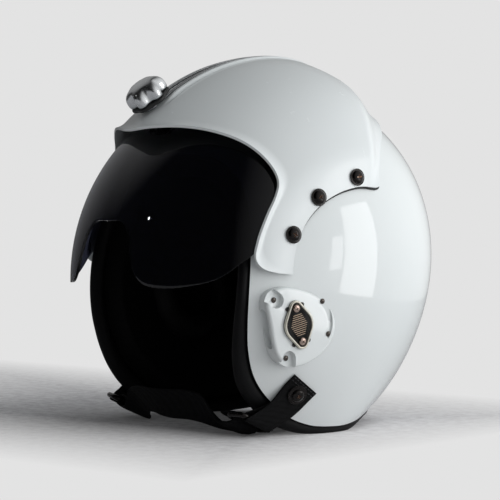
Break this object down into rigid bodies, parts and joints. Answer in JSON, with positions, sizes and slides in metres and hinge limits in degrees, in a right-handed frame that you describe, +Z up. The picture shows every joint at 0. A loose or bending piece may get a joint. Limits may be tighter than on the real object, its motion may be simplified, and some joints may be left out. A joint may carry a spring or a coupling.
{
  "type": "flight helmet",
  "caption": "White flight helmet with a smoked visor that slides up under its cover, a lock knob on a slotted keel, ear covers, edge roll and chin strap.",
  "frame": {"origin": "bottom centre of the bounding box, on the surface the helmet stands on", "axes": "+Z up, -Y the way the wearer faces, +X the wearer's left"},
  "size_m": [0.2416, 0.256, 0.2706],
  "materials": {
    "shell_paint": "gloss",
    "housing_paint": "gloss",
    "smoke_visor": "polished, smoked",
    "liner_foam": "matte foam",
    "pad_leather": "soft",
    "edge_leather": "satin",
    "webbing": "woven",
    "bright_metal": "polished",
    "black_plastic": "matte",
    "dark_metal": "blackened"
  },
  "bodies": {
    "helmet": {"badge_gasket_left": "black_plastic", "badge_gasket_right": "black_plastic", "badge_plate_left": "black_plastic", "badge_plate_right": "black_plastic", "badge_rim_left": "bright_metal", "badge_rim_right": "bright_metal", "badge_screw_left_1": "bright_metal", "badge_screw_left_2": "bright_metal", "badge_screw_right_1": "bright_metal", "badge_screw_right_2": "bright_metal", "brow_pad": "pad_leather", "chin_strap": "webbing", "cover_screw_left_1": "dark_metal", "cover_screw_left_2": "dark_metal", "cover_screw_left_3": "dark_metal", "cover_screw_left_4": "dark_metal", "cover_screw_right_1": "dark_metal", "cover_screw_right_2": "dark_metal", "cover_screw_right_3": "dark_metal", "cover_screw_right_4": "dark_metal", "crown_pad": "pad_leather", "ear_cover_left": "shell_paint", "ear_cover_right": "shell_paint", "ear_pad_left": "pad_leather", "ear_pad_right": "pad_leather", "edge_roll": "edge_leather", "housing_screw_left_1": "dark_metal", "housing_screw_left_2": "dark_metal", "housing_screw_left_3": "dark_metal", "housing_screw_right_1": "dark_metal", "housing_screw_right_2": "dark_metal", "housing_screw_right_3": "dark_metal", "impact_liner": "liner_foam", "nape_pad": "pad_leather", "outer_shell": "shell_paint", "strap_ring_left": "dark_metal", "strap_ring_right": "dark_metal", "strap_tab_left": "webbing", "strap_tab_right": "webbing", "tab_screw_left": "dark_metal", "tab_screw_right": "dark_metal", "tab_washer_left": "dark_metal", "tab_washer_right": "dark_metal", "visor_guide_left": "black_plastic", "visor_guide_right": "black_plastic", "visor_housing": "housing_paint", "visor_track": "bright_metal"},
    "visor": {"visor_lens": "smoke_visor", "visor_carriage": "dark_metal", "knob_stem": "bright_metal", "lock_collar": "bright_metal"},
    "knob": {"lock_knob": "bright_metal"}
  },
  "joints": [
    {"name": "visor_slide", "type": "hinge", "parent": "helmet", "child": "visor", "pos_m": [0, 0.01727, 0.10522], "axis": [-1, 0, 0], "range_deg": [0, 35]},
    {"name": "knob_turn", "type": "hinge", "parent": "visor", "child": "knob", "pos_m": [0, -0.09213, 0.23794], "axis": [0, -0.6361, 0.7716], "range_deg": [0, 270]}
  ]
}
